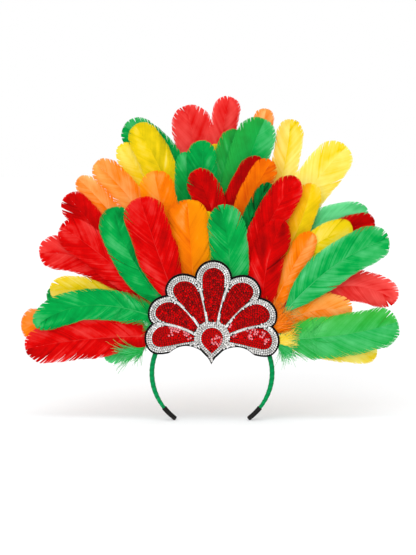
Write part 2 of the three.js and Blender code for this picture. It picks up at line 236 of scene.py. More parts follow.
for side, name in ((-1.0, "left"), (1.0, "right")):
    loops = hoop_loops(cap_turns, cap_margins, cap_shares, CAP_SIDES)
    points, faces = loft(loops * np.array([side, 1.0, 1.0]))
    add_piece(f"cap_{name}", points, faces, black_plastic, [f"end_cap_{name}"])

# Felt core
# The carrier of the whole fan: a crescent of black felt layers glued on the band's crown, with the
# feather quills glued into its rim. It shows only from behind and below.
CORE_INNER = 70.6
CORE_RIM = 81.8
CORE_HALF_DEPTH = 10.2
CORE_REACH = 64.0
CORE_ROUND = 1.6
CORE_STEPS = 150
CORE_SIDES = 72
FELT_LAYER = 3.4
SEAM_DEEP = 0.22
SEAM_WIDE = 0.1  # share of a layer

black_felt, tree, shader = start_finish("black_felt", 0.95, Specular_IOR_Level=0.08, Sheen_Weight=0.06)
fluff = rough_up(tree, shader, 700.0, 0.6, 0.0006)
colour_by(tree, shader, fluff, (0.3, shade(4, 4, 4)), (0.75, shade(22, 21, 21)))


def run_along(line):
    """How far each point of a line lies from its start, along it."""
    return np.concatenate([[0.0], np.cumsum(np.linalg.norm(np.diff(line, axis=0), axis=1))])


def places_on(line, run, at):
    """Places on a flat line where its run has certain values."""
    return np.stack([np.interp(at, run, line[:, i]) for i in range(2)], axis=-1)


def rounded_box(width, height, radius, steps, pieces):
    """Points round a box with round corners, in order, about its middle."""
    corner = np.linspace(0.0, np.pi / 2.0, steps)
    outline = []
    for turn, x, y in ((0, 1, 1), (1, -1, 1), (2, -1, -1), (3, 1, -1)):
        angle = corner + turn * np.pi / 2.0
        centre = np.array([x * (width / 2.0 - radius), y * (height / 2.0 - radius)])
        outline.append(centre + radius * np.stack([np.cos(angle), np.sin(angle)], axis=-1))
    outline = np.concatenate(outline)
    closed = np.concatenate([outline, outline[:1]])
    along = run_along(closed)
    return places_on(closed, along, np.linspace(0.0, along[-1], pieces, endpoint=False))


dice = np.random.default_rng(7)
section = rounded_box(CORE_RIM - CORE_INNER, 2.0 * CORE_HALF_DEPTH, CORE_ROUND, 5, CORE_SIDES)
turns = np.radians(np.linspace(-CORE_REACH, CORE_REACH, CORE_STEPS))[:, None]
seams = SEAM_DEEP * np.exp(-(((section[:, 1] / FELT_LAYER) % 1.0 - 0.5) / SEAM_WIDE) ** 2)
fuzz = dice.normal(0.0, 0.06, (CORE_STEPS, CORE_SIDES)) - seams * np.sign(section[:, 0])
radius = (CORE_INNER + CORE_RIM) / 2.0 + section[:, 0] + fuzz
depth = section[:, 1] + dice.normal(0.0, 0.05, (CORE_STEPS, CORE_SIDES))
height = HOOP_CENTRE_Z + HOOP_OVAL * radius * np.cos(turns)
points, faces = loft(np.stack([radius * np.sin(turns), depth, height], axis=-1))
add_piece("felt_crescent", points, faces, black_felt, ["felt_core"])

# Feathers
# Goose feathers dyed red, green, orange and yellow: a bare quill set in the core's rim, a tapering
# shaft, barbs that cling together in a smooth vane with a few splits, and loose down at the foot.
LAYERS = 14
LAYER_PITCH = 1.45
LEAN_FRONT = 0.02
LEAN_BACK = 0.34
RECURVE = 0.25
LONGEST_RUN = 235.0
ROOT_RADIUS = 82.1
BOW_AT = 0.6
TIP_FULLNESS = 2.2
VANE_FULLNESS = 2.3
CUP_SHARE = 0.3
QUILL_SHARE = 0.05  # bare share of the shaft
QUILL_HALF = 0.8
SHAFT_TIP_HALF = 0.14
SHAFT_END = 0.975
BARB_PITCH = 0.85
BARB_POINTS = 6
BARB_LIFT = 0.09
BARB_TAPER = np.array([0.9, 1.0, 1.0, 0.98, 0.88, 0.4])
DOWN_POINTS = 8
SHAFT_STEPS = 30
SHAFT_SIDES = 6
DOWN_HALF = 0.17
TOOTH_BARBS = (4, 10)  # fewest, and one more than the most
TOOTH_SQUEEZE = 0.3
SPLITS = (2, 6)  # on each side of a vane, as for the teeth
SPLIT_GAP = (0.15, 1.3)
SPLIT_RUN = (3.0, 8.0)
SPLIT_SHADE = (0.05, 0.22)
STREAKS = ((70, 0.026), (9, 0.035))  # how many along the vane, and how strong
# Patches of the vane's tone: partly uneven dye, partly painted light and shade of the vane's folds and sheen.
MOTTLES = (((7, 3), 0.09), ((18, 4), 0.045))  # patches along and across, and how strong
# Thin lines along the barbs, some painted paler as satin highlights and some darker as painted shade in
# creases.
PAINTED_SHEEN_CREASES = 7
LIGHT_THROUGH = 0.28  # share of the light that comes through a vane

# belly: where along the shaft the vane is widest. tip: how long the tip's rounding is, in half widths.
# tone: how deep (0) or pale (1) each feather is coloured. tint: how much of the second dye has run in on the
# left,
# or below 0 on the right. full: how broad the vane already is at its foot. loose: how downy the foot is.
PLUMES = [
    # name, dye, layer, root, tip x, tip z, bow, width, belly, tip, tone, tint, full, loose
    ("left_green_tuft", "green", 2, -61, -121, -44, 3, 22, 0.5, 1.6, 0.66, 0, 0.6, 1.5),
    ("left_red_low", "red", 1, -57, -210, -35, -8, 46, 0.6, 1.3, 0.5, 0, 1.0, 0.1),
    ("left_orange_low", "orange", 6, -50, -217, -9, 0, 38, 0.7, 0.8, 0.56, 0.15, 0, 0),
    ("left_green_low", "green", 0, -41, -198, -9, -43, 36, 0.45, 1.9, 0.46, 0, 1.0, 0.55),
    ("left_green_hidden", "green", 8, -45, -188, 21, -18, 27, 0.6, 1.2, 0.38, 0, 0, 0),
    ("left_yellow_low", "yellow", 5, -36, -183, 29, -20, 32, 0.5, 1.3, 0.58, 0.1, 0, 0),
    ("left_red_outer", "red", 4, -38, -195, 72, -40, 41, 0.8, 1.1, 0.52, 0, 0, 0),
    ("left_red_middle", "red", 3, -36, -170, 103, -9, 40, 0.75, 1.1, 0.54, 0, 0, 0),
    ("left_red_back", "red", 6, -30, -164, 138, 6, 34, 0.8, 1.1, 0.47, 0, 0, 0),
    ("left_orange_outer", "orange", 7, -28, -152, 156, -14, 25, 0.8, 1.3, 0.64, 0, 0, 0),
    ("left_orange_inner", "orange", 8, -22, -133, 173, -28, 33, 0.85, 1.2, 0.58, 0.2, 0, 0),
    ("left_yellow_back", "yellow", 10, -17, -106, 193, -27, 34, 0.75, 1.5, 0.55, 0, 0, 0),
    ("left_yellow_top", "yellow", 9, -14, -88, 216, -27, 39, 0.75, 1.25, 0.44, 0, 0, 0),
    ("left_green_curl", "green", 11, -11, -101, 215, -66, 42, 0.45, 1.1, 0.36, 0, 0, 0),
    ("left_orange_short", "orange", 3, -18, -65, 165, 4, 40, 0.8, 1.1, 0.46, 0.35, 0, 0),
    ("left_red_front", "red", 0, -25.5, -80, 136, 4, 48, 0.65, 0.8, 0.47, 0, 0.2, 0),
    ("left_green_front", "green", 2, -31, -109, 125, 22, 43, 0.75, 1.1, 0.42, 0, 0, 0),
    ("centre_orange_front", "orange", 2, -13, -28, 133, 0, 45, 0.7, 0.8, 0.38, -0.5, 0.3, 0),
    ("centre_yellow", "yellow", 3, -4, -6, 120, 0, 27, 0.6, 1.1, 0.48, 0.2, 0, 0),
    ("centre_green_front", "green", 1, 13, 8, 127, -12, 44, 0.65, 1.4, 0.44, 0, 0, 0),
    ("centre_red_short", "red", 4, 2, -21, 165, -29, 36, 0.75, 1.2, 0.4, 0, 0, 0),
    ("centre_red_long", "red", 6, 7, 56, 179, 31, 30, 0.8, 1.2, 0.34, 0, 0, 0),
    ("centre_green_back", "green", 7, -1, -11, 199, 3, 36, 0.8, 1.1, 0.48, 0, 0, 0),
    ("centre_green_side", "green", 8, -8, -27, 186, 11, 29, 0.7, 1.2, 0.4, 0.05, 0, 0),
    ("centre_yellow_back", "yellow", 10, 1, 4, 195, 0, 20, 0.7, 1.2, 0.45, 0.2, 0, 0),
    ("top_red_left", "red", 13, -5, -30, 239, -13, 49, 0.88, 1.1, 0.68, 0, 0, 0),
    ("top_red_right", "red", 12, 4, 21, 249, 18, 33, 0.86, 1.1, 0.62, 0, 0, 0),
    ("right_green_inner", "green", 9, 9, 29, 211, 20, 34, 0.8, 1.2, 0.44, 0.25, 0, 0),
    ("right_green_top", "green", 8, 11, 60, 223, 20, 47, 0.82, 1.15, 0.49, 0.2, 0, 0),
    ("right_orange_top", "orange", 10, 14, 62, 235, 0, 25, 0.8, 1.1, 0.74, 0, 0, 0),
    ("right_yellow_inner", "yellow", 9, 17, 89, 223, -22, 32, 0.82, 1.2, 0.8, 0.3, 0, 0),
    ("right_yellow_top", "yellow", 8, 26, 153, 192, 21, 46, 0.85, 1.0, 0.76, 0, 0, 0),
    ("right_orange_middle", "orange", 5, 12, 68, 176, 24, 31, 0.75, 1.3, 0.4, 0, 0, 0),
    ("right_green_slim", "green", 3, 16, 66, 151, 21, 20, 0.65, 2.0, 0.22, 0, 0, 0),
    ("right_red_long", "red", 2, 21, 96, 157, 17, 38, 0.65, 1.4, 0.45, 0, 0, 0),
    ("right_red_front", "red", 0, 42, 80, 110, 15, 38, 0.6, 1.5, 0.42, 0, 0.3, 0),
    ("right_yellow_slim", "yellow", 4, 30, 112, 151, -18, 29, 0.7, 1.3, 0.52, 0.7, 0, 0),
    ("right_green_back", "green", 6, 33, 177, 116, 65, 29, 0.65, 1.4, 0.92, 0, 0, 0),
    ("right_red_back", "red", 5, 36, 184, 106, 45, 27, 0.7, 1.2, 0.42, 0, 0, 0),
    ("right_yellow_middle", "yellow", 3, 38, 158, 100, 36, 31, 0.8, 1.1, 0.58, 0, 0, 0),
    ("right_orange_front", "orange", 2, 45, 113, 96, 3, 28, 0.65, 1.8, 0.54, 0.1, 0.3, 0.2),
    ("right_green_front", "green", 1, 52, 198, 89, 28, 44, 0.7, 1.1, 0.58, 0, -0.14, 0.2),
    ("right_red_middle", "red", 4, 48, 208, 18, 58, 37, 0.7, 1.3, 0.74, 0, 0, 0),
    ("right_orange_low", "orange", 3, 54, 157, 5, 26, 36, 0.6, 1.5, 0.66, 0.25, 0.6, 0.4),
    ("right_green_low", "green", 0, 60, 208, -3, -12, 49, 0.4, 0.95, 0.58, 0.55, 0.6, 0.5),
    ("right_yellow_low", "yellow", 5, 62, 187, -41, -4, 26, 0.65, 1.4, 0.7, 0, 0.4, 0.3),
]
DYES = {
    # deep, full and pale, and the second dye
    "red": (shade(104, 0, 0), shade(224, 0, 0), shade(248, 88, 82), shade(240, 80, 10)),
    "green": (shade(0, 58, 18), shade(0, 174, 75), shade(112, 222, 150), shade(84, 196, 48)),
    "orange": (shade(212, 60, 0), shade(250, 128, 0), shade(255, 196, 118), shade(255, 184, 0)),
    "yellow": (shade(158, 148, 0), shade(244, 216, 16), shade(255, 244, 130), shade(252, 150, 8)),
}


def dyed_barbs(dye):
    """The finish of one dye: deeper and paler streaks, and light that comes through."""
    deep, full, pale, second = DYES[dye]
    finish, tree, shader = start_finish(
        f"{dye}_dyed_barbs", 0.6, Specular_IOR_Level=0.04, Sheen_Weight=0.015, Sheen_Roughness=0.4
    )
    blotches = rough_up(tree, shader, 90.0, 0.1, 0.0004)
    # The tone read here carries painted light and shade worked out for each barb: sheen and crease lines,
    # shade at splits and feet, and fold patches.
    tone = node(tree, "ShaderNodeAttribute", attribute_name="tone").outputs["Fac"]
    tint = node(tree, "ShaderNodeAttribute", attribute_name="tint").outputs["Fac"]
    uneven = node(tree, "ShaderNodeMath", {0: blotches, 1: 0.3, 2: -0.15}, operation="MULTIPLY_ADD")
    mixed = node(tree, "ShaderNodeMath", {0: tone, 1: uneven.outputs[0]}, operation="ADD")
    colour = ramp(tree, mixed.outputs[0], (0.05, deep), (0.5, full), (0.95, pale))
    mixture = {"Fac": tint, "Color1": colour, "Color2": second}
    colour = node(tree, "ShaderNodeMixRGB", mixture).outputs["Color"]
    tree.links.new(colour, shader.inputs["Base Color"])
    glow = node(tree, "ShaderNodeBsdfTranslucent", {"Color": colour})
    both = node(tree, "ShaderNodeMixShader", {0: LIGHT_THROUGH, 1: shader.outputs[0], 2: glow.outputs[0]})
    tree.links.new(both.outputs[0], tree.nodes["Material Output"].inputs["Surface"])
    return finish


def layer_depth(layer, radius):
    """How far back a layer of feathers lies, at a distance from the hoop's centre."""
    run = np.maximum(0.0, radius - ROOT_RADIUS)
    lean = LEAN_FRONT + (LEAN_BACK - LEAN_FRONT) * layer / (LAYERS - 1)
    return (layer - (LAYERS - 1) / 2.0) * LAYER_PITCH + lean * run * (1.0 - RECURVE * run / LONGEST_RUN)


def wander(dice, at, knots, size):
    """A smooth random line over places from 0 to 1."""
    heights = dice.normal(0.0, size, knots)
    place = np.clip(at, 0.0, 1.0) * (knots - 1)
    low = np.minimum(place.astype(int), knots - 2)
    return heights[low] + (heights[low + 1] - heights[low]) * smooth(place - low)


def mottle(dice, along, across, knots, size):
    """Soft random patches over a vane, by places from 0 to 1 along and across it."""
    heights = dice.normal(0.0, size, knots)
    far, out = np.clip(along, 0.0, 1.0) * (knots[0] - 1), np.clip(across, 0.0, 1.0) * (knots[1] - 1)
    i, j = np.minimum(far.astype(int), knots[0] - 2), np.minimum(out.astype(int), knots[1] - 2)
    low = heights[i, j] + (heights[i, j + 1] - heights[i, j]) * smooth(out - j)
    high = heights[i + 1, j] + (heights[i + 1, j + 1] - heights[i + 1, j]) * smooth(out - j)
    return low + (high - low) * smooth(far - i)


def unit(way):
    """Directions without their length."""
    return way / np.maximum(1e-9, np.linalg.norm(way, axis=-1, keepdims=True))


def square_on(way):
    """Flat directions turned a quarter to the left."""
    return np.stack([-way[..., 1], way[..., 0]], axis=-1)


def bent(start, pull, end, t):
    """Places from 0 to 1 along a simple bend from start to end."""
    return (1 - t) ** 2 * start + 2 * t * (1 - t) * pull + t**2 * end


def strands(paths, halves, lift):
    """Closed three-sided strands along paths: a flat back and a low ridge in front."""
    ahead = unit(np.gradient(paths, axis=1)[..., [0, 2]])
    across = np.stack([-ahead[..., 1], np.zeros_like(ahead[..., 0]), ahead[..., 0]], axis=-1)
    side = across * halves[..., None]
    ridge = paths - np.array([0.0, 1.0, 0.0]) * (lift * halves / halves.max())[..., None]
    rings = np.stack([paths + side, ridge, paths - side], axis=2)
    count, steps = paths.shape[:2]
    start = np.arange(count)[:, None, None] * steps * 3 + np.arange(steps - 1)[None, :, None] * 3
    edge = np.arange(3)[None, None, :]
    after = (edge + 1) % 3
    quads = np.stack([start + edge, start + after, start + 3 + after, start + 3 + edge], axis=-1)
    first = np.arange(count)[:, None] * steps * 3 + np.array([2, 1, 0])
    last = np.arange(count)[:, None] * steps * 3 + (steps - 1) * 3 + np.array([0, 1, 2])
    return rings.reshape(-1, 3), quads.reshape(-1, 4).tolist() + first.tolist() + last.tolist()


def cling(dice, places, splits):
    """Barb ends drawn into small teeth, with a few splits: places, gap runs, lengths and shades."""
    ends = places.copy()
    gap_run = np.full(len(places), 7.0)
    length = 1.0 - 0.012 * dice.random(len(places))
    dim = np.zeros(len(places))
    first = 0
    while first < len(places):
        count = int(dice.integers(*TOOTH_BARBS))
        tooth = slice(first, min(first + count, len(places)))
        own = places[tooth]
        squeeze = 1.0 - dice.uniform(0.0, TOOTH_SQUEEZE)
        ends[tooth] = own.mean() + (own - own.mean()) * squeeze
        length[tooth] -= dice.uniform(0.0, 0.04)
        first += count
    for _ in range(splits):
        at = places[-1] * dice.uniform(0.15, 0.99)
        gap, run = dice.uniform(*SPLIT_GAP), dice.uniform(*SPLIT_RUN)
        away = places - at
        near = np.exp(-np.abs(away) / run)
        ends += np.sign(away) * gap * near
        gap_run = gap_run + (2.2 - gap_run) * near
        dim -= dice.uniform(*SPLIT_SHADE) * np.exp(-np.abs(away) / 0.9)
    return ends, gap_run, length, dim


def down(dice, foot, out, size, wobble):
    """The flat paths of loose downy strands from their feet, each with a curl and a ripple."""
    count = len(foot)
    v = np.linspace(0.0, 1.0, DOWN_POINTS)[None, :, None]
    curl = dice.normal(0.0, 0.3, (count, 1, 1))
    turns, begin = dice.uniform(5.0, 11.0, (count, 1, 1)), dice.uniform(0.0, 6.0, (count, 1, 1))
    aside = curl * size[:, None, None] * v**2 + wobble * np.sin(v * turns + begin) * v
    return foot[:, None] + size[:, None, None] * v * out[:, None] + aside * square_on(out)[:, None]


def plume(row, dice):
    """The points, faces, tones, tints and map places of one feather."""
    _, _, layer, root, tip_x, tip_z, bow, width, belly, tip_long, tone, tint, full, loose = row
    turn = np.radians(root)
    start = np.array([ROOT_RADIUS * np.sin(turn), HOOP_CENTRE_Z + HOOP_OVAL * ROOT_RADIUS * np.cos(turn)])
    tip = np.array([tip_x, tip_z], float)
    chord = tip - start
    bend = start + BOW_AT * chord + bow * square_on(unit(chord))
    t = np.linspace(0.0, 1.0, 400)[:, None]
    line = bent(start, bend, tip, t)
    run = run_along(line)
    reach = run[-1]
    run /= reach
    way = unit(np.gradient(line, axis=0))

    def on_shaft(share):
        return places_on(line, run, share)

    def ahead_at(share):
        return places_on(way, run, share)

    half = width / 2.0
    tip_share = tip_long * half / reach
    cup_side = 1.0 if layer % 2 == 0 else -1.0
    sway = int(dice.integers(1, 1 << 30))

    def depth_at(flat, off):
        """The depth of a spot: the layer's own lean, the vane's cup and a slow wave."""
        radius = np.hypot(flat[..., 0], flat[..., 1] - HOOP_CENTRE_Z)
        here = layer_depth(layer, radius)
        room = layer_depth(layer + 1, radius) - here - 1.0
        out = np.hypot(flat[..., 0] - start[0], flat[..., 1] - start[1]) / reach
        wave = wander(np.random.default_rng(sway), out, 9, 0.16)
        return here + room * (cup_side * CUP_SHARE * off**2 + wave * off)

    share = np.linspace(0.0, 1.0, 1500)
    bare = QUILL_SHARE - (0.04 * full if full > 0.0 else full)
    spread_in = np.clip((share / (1.0 - tip_share) - bare) / (belly - bare), 0.0, 1.0)
    tip_in = np.clip((share - 1.0 + tip_share) / tip_share, 0.0, 1.0)
    at_foot = 0.8 * max(0.0, full) * smooth(share / 0.07)
    grown = np.maximum(1.0 - (1.0 - spread_in) ** VANE_FULLNESS, at_foot)
    spread = grown * (1.0 - tip_in**TIP_FULLNESS) ** (1.0 / TIP_FULLNESS)

    parts = []
    for side in (1.0, -1.0):
        lopsided = 1.0 + side * 0.04 * np.sign(bow + 0.1)
        edge_half = half * spread * lopsided * (1.0 + wander(dice, share, 12, 0.025))
        edge = on_shaft(share) + side * square_on(ahead_at(share)) * edge_half[:, None]
        first = int(np.argmax(share > bare + 0.01))
        steps = np.linalg.norm(np.diff(edge[first:], axis=0), axis=1)
        along = np.concatenate([np.zeros(first + 1), np.cumsum(steps)])
        count = int(along[-1] / BARB_PITCH)
        even = (np.arange(count) + 0.5) * along[-1] / count + dice.normal(0.0, 0.08, count)
        ends, gap_run, length, dim = cling(dice, even, int(dice.integers(*SPLITS)))
        end_share = np.interp(even, along, share)
        slant = 0.95 - 0.35 * end_share
        back = np.maximum(np.interp(end_share, share, edge_half) / slant, 0.5 * half) / reach
        foot_share = np.maximum.accumulate(np.clip(end_share - back, 0.03, 0.972))
        foot = on_shaft(foot_share)
        straight_end, drawn_end = places_on(edge, along, even), places_on(edge, along, ends)
        reach_out = straight_end - foot
        long = np.linalg.norm(reach_out, axis=1, keepdims=True)
        bulge = foot + 0.5 * reach_out - 0.1 * long * ahead_at(foot_share)
        v = np.linspace(0.0, 1.0, BARB_POINTS)[None, :, None]
        flat = bent(foot[:, None], bulge[:, None], straight_end[:, None], v)
        spacing = np.gradient(flat, axis=0)
        heading = unit(np.gradient(flat, axis=1))
        apart = np.abs(spacing[..., 0] * heading[..., 1] - spacing[..., 1] * heading[..., 0])
        downy = np.minimum(1.0, smooth((0.1 + 0.5 * loose - end_share) / 0.16) * loose)
        flat = flat + (drawn_end - straight_end)[:, None] * v ** gap_run[:, None, None]
        long_share = length + downy * dice.normal(-0.04, 0.16, count)
        flat = foot[:, None] + (flat - foot[:, None]) * (1.0 + (long_share[:, None, None] - 1.0) * v)
        astray = dice.normal(0.0, 2.0, (count, 1, 2)) * downy[:, None, None]
        flat = flat + astray * v**2
        off = v[..., 0] * np.ones((count, 1))
        depth = depth_at(flat, off) + dice.normal(0.0, 0.05, (count, 1)) * off
        paths = np.stack([flat[..., 0], depth, flat[..., 1]], axis=-1)
        halves = np.clip(0.85 * apart, 0.26, 1.3) * BARB_TAPER * (1.0 - 0.5 * downy[:, None] * off)
        new_points, new_faces = strands(paths, halves, BARB_LIFT)
        along_vane = end_share[:, None] + 0.0 * off
        streak = sum(wander(dice, end_share, *kind) for kind in STREAKS) + dim
        # The last term gives each side of the vane its own tone: partly dye, partly painted shade of the
        # vane's fold, one half turned from the light.
        streak = streak + dice.normal(0.0, 0.018, count) + dice.normal(0.0, 0.03)
        patches = sum(mottle(dice, along_vane, off, *kind) for kind in MOTTLES)
        # Thin painted lines: the paler ones are painted satin highlights, the darker ones painted shade in
        # creases.
        for _ in range(PAINTED_SHEEN_CREASES):
            painted_sheen_crease = np.exp(-(((along_vane - dice.uniform(0.25, 0.97)) / dice.uniform(0.003, 0.009)) ** 2))
            patches = patches + dice.uniform(-0.15, 0.2) * painted_sheen_crease * smooth(1.6 * off) * smooth(3.0 - 3.0 * off)
        patches = np.maximum(patches, 0.6 * patches)
        # Paler feathers get stronger streaks and patches, and every vane is made darker towards its foot:
        # painted shade where the vanes crowd over each other near the core.
        lively = 1.0 + 2.2 * max(0.0, tone - 0.5)
        shaded = tone + lively * (streak[:, None] + patches) - 0.1 * smooth((0.3 - along_vane) / 0.3)
        beside = 0.2 + 0.8 * (side * tint > 0.0)
        tinted = abs(tint) * (beside * (0.4 + 0.6 * off) + 0.25 * (1.0 - along_vane))
        corner = np.array([-0.3, 0.0, 0.3]) / count
        map_u = end_share[:, None, None] + corner + 0.0 * off[..., None]
        map_v = 0.5 + side * (0.02 + 0.47 * off[..., None]) + 0.0 * corner
        tones, tints = (np.repeat(value[..., None], 3, axis=-1) for value in (shaded, tinted))
        parts.append((new_points, new_faces, tones, tints, map_u, map_v))

    shaft_share = np.linspace(0.0, SHAFT_END, SHAFT_STEPS)
    middle = on_shaft(shaft_share)
    across = square_on(ahead_at(shaft_share))
    thick = SHAFT_TIP_HALF + (QUILL_HALF - SHAFT_TIP_HALF) * (1.0 - shaft_share) ** 1.4
    deep = np.minimum(thick, 0.45)
    turn = np.linspace(0.0, 2.0 * np.pi, SHAFT_SIDES, endpoint=False)[None, :]
    wide = thick[:, None] * np.cos(turn)
    loops = np.stack(
        [
            middle[:, :1] + across[:, :1] * wide,
            depth_at(middle, 0.0)[:, None] - 0.1 + deep[:, None] * np.sin(turn),
            middle[:, 1:] + across[:, 1:] * wide,
        ],
        axis=-1,
    )
    shaft_points, shaft_faces = loft(loops)
    pale = (tone + 0.16 - 0.12 * shaft_share)[:, None] + 0.0 * turn
    parts.append(
        (
            shaft_points,
            [face[::-1] for face in shaft_faces],
            pale,
            0.0 * pale + 0.4 * abs(tint),
            shaft_share[:, None] + 0.0 * turn,
            0.5 + 0.01 * np.cos(turn) + 0.0 * pale,
        )
    )

    count = int(30 + 130 * loose)
    at = dice.uniform(0.03, 0.2 + 0.25 * loose, count)
    hand = np.where(np.arange(count) % 2 == 0, 1.0, -1.0)
    ahead = ahead_at(at)
    out = unit(square_on(ahead) * hand[:, None] + ahead * dice.uniform(-0.2, 1.3, (count, 1)))
    size = dice.uniform(0.5, 1.15, count) * half * np.minimum(1.0, 0.35 + 2.0 * at + 0.4 * loose)
    flat = down(dice, on_shaft(at), out, size, 0.5)
    stray = dice.uniform(-0.3, 0.3, (count, 1)) * np.linspace(0.0, 1.0, DOWN_POINTS)
    paths = np.stack([flat[..., 0], depth_at(flat, 0.0 * stray) + stray, flat[..., 1]], axis=-1)
    halves = DOWN_HALF * np.linspace(1.0, 0.35, DOWN_POINTS)[None, :] + 0.0 * stray
    new_points, new_faces = strands(paths, halves, 0.16)
    fluffy = np.repeat((tone + dice.normal(0.04, 0.06, count))[:, None], DOWN_POINTS * 3, axis=1)
    map_u = at[:, None] + 0.0 * fluffy
    map_v = 0.5 + hand[:, None] * 0.3 * np.repeat(np.linspace(0.0, 1.0, DOWN_POINTS), 3)
    parts.append((new_points, new_faces, fluffy, 0.0 * fluffy + 0.4 * abs(tint), map_u, map_v))
    return parts


def add_plume(name, dye, parts, stands_for):
    """One feather as a piece: its parts joined, with its tones, tints and map."""
    starts = np.concatenate([[0], np.cumsum([len(part[0]) for part in parts])])
    points = np.concatenate([part[0] for part in parts])
    faces = [[int(base) + i for i in face] for base, part in zip(starts, parts) for face in part[1]]
    piece = add_piece(name, points, faces, barbs[dye], stands_for, soft=False)
    tone, tint, map_u, map_v = (np.concatenate([np.ravel(part[i]) for part in parts]) for i in (2, 3, 4, 5))
    mark(piece, "tone", np.clip(tone, 0.0, 1.0))
    mark(piece, "tint", np.clip(tint, 0.0, 1.0))
    spread_map = piece.data.uv_layers.new(name="OFBake")
    corners = np.zeros(len(piece.data.loops), np.int32)
    piece.data.loops.foreach_get("vertex_index", corners)
    places = np.clip(np.stack([map_u, map_v], axis=-1)[corners], 0.0, 1.0)
    spread_map.uv.foreach_set("vector", places.astype(np.float32).ravel())


barbs = {dye: dyed_barbs(dye) for dye in DYES}
for number, row in enumerate(PLUMES):
    parts = plume(row, np.random.default_rng(100 + number))
    add_plume(f"plume_{row[0]}", row[1], parts, [f"feather_{row[0]}"])

# Loose down
# Wisps of down from the feet of the outer feathers, which push out from behind the badge's edge on
# both sides. They grow from the quills at the core's rim and lie in front of the lowest vanes.
WISPS = [
    # name, dye, root from, root to, heading from, heading to, long, strands, tone
    ("right_orange", "orange", 44, 55, 22, 84, 33, 300, 0.38),
    ("right_yellow", "yellow", 58, 65, 66, 108, 24, 150, 0.66),
    ("right_green", "green", 62, 68, 108, 165, 25, 150, 0.62),
    ("left_green", "green", -51, -45, -88, -68, 16, 120, 0.46),
    ("left_tuft", "green", -72, -67, -112, -98, 36, 190, 0.6),
    ("left_tuft_low", "green", -72, -67, -160, -112, 20, 60, 0.6),
]
WISP_LAYER = -0.7  # a little in front of the first layer of feathers
WISP_HALF = 0.34
for number, row in enumerate(WISPS):
    name, dye, root_from, root_to, head_from, head_to, longest, count, tone = row
    dice = np.random.default_rng(300 + number)
    turn = np.radians(dice.uniform(root_from, root_to, count))
    head = np.radians(dice.uniform(head_from, head_to, count))
    height = HOOP_CENTRE_Z + HOOP_OVAL * ROOT_RADIUS * np.cos(turn)
    foot = np.stack([ROOT_RADIUS * np.sin(turn), height], axis=-1)
    out = np.stack([np.sin(head), np.cos(head)], axis=-1)
    flat = down(dice, foot, out, longest * dice.uniform(0.45, 1.0, count), 0.8)
    front = np.full((1, DOWN_POINTS), layer_depth(WISP_LAYER, ROOT_RADIUS))
    depth = front + dice.uniform(-0.05, 0.35, (count, 1))
    paths = np.stack([flat[..., 0], depth, flat[..., 1]], axis=-1)
    halves = WISP_HALF * np.linspace(1.0, 0.3, DOWN_POINTS)[None, :] + 0.0 * depth
    wisp_points, wisp_faces = strands(paths, halves, 0.2)
    outwards = np.repeat(np.linspace(-0.1, 0.1, DOWN_POINTS), 3)[None, :]
    tones = dice.normal(tone, 0.13, count)[:, None] + outwards
    tints = np.repeat(np.clip(dice.normal(0.08, 0.1, count), 0.0, 1.0)[:, None], DOWN_POINTS * 3, axis=1)
    spot = np.linspace(0.0, 1.0, count)[:, None] + 0.0 * tones
    reach = np.repeat(np.linspace(0.0, 1.0, DOWN_POINTS), 3)[None, :] + 0.0 * tones
    add_plume(f"down_{name}", dye, [(wisp_points, wisp_faces, tones, tints, spot, reach)], [])

# Badge felt
# The palmette's backing, cut from black craft felt a little larger than the beadwork, so that a
# narrow black edge shows all round. It is stitched to the core in front of the quills.


def face_with(name, finish):
    """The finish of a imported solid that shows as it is."""
    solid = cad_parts[name].data
    solid.materials.clear()
    solid.materials.append(finish)


face_with("badge_felt", black_felt)

# Silver border
# Rows of small silver cup sequins sewn edge over edge on a dark ground, round the whole palmette,
# along the ribs between the petals and in a ring round the drop. The ground's darkness is partly
# painted shade in the gaps between the discs.
BADGE_Z = -21.5
BADGE_TILT = 1.4
BADGE_FACE_Y = -12.3  # the front of the felt, with a hair's gap
BORDER_WIDTH = 6.6
BORDER_RISE = 2.0
DROP_RADIUS = 12.0
DROP_POINT = 17.0
DROP_RING = 4.6
PEAK_POINT = 28.0
PEAK_SHOULDER = 22.0
PEAK_WAIST = (5.0, -15.0)
SCOOP_CENTRE = (28.0, -35.0)
SCOOP_RADIUS = 26.5
PETAL_BELLY = 0.62
SEQUIN_RADIUS = 1.06
SEQUIN_TILT = 7.0
SEQUIN_SIDES = 8
SEQUIN_LIFT = 0.12
SEQUIN_WOBBLE = 0.035  # radians
SEQUIN_PITCH = 2.38
SEWN_CLEAR = 0.87  # of a row's pitch, kept from sequins that are already sewn
ROW_MARGINS = (1.1, 3.3, 5.5)  # of the main rows, from the edge
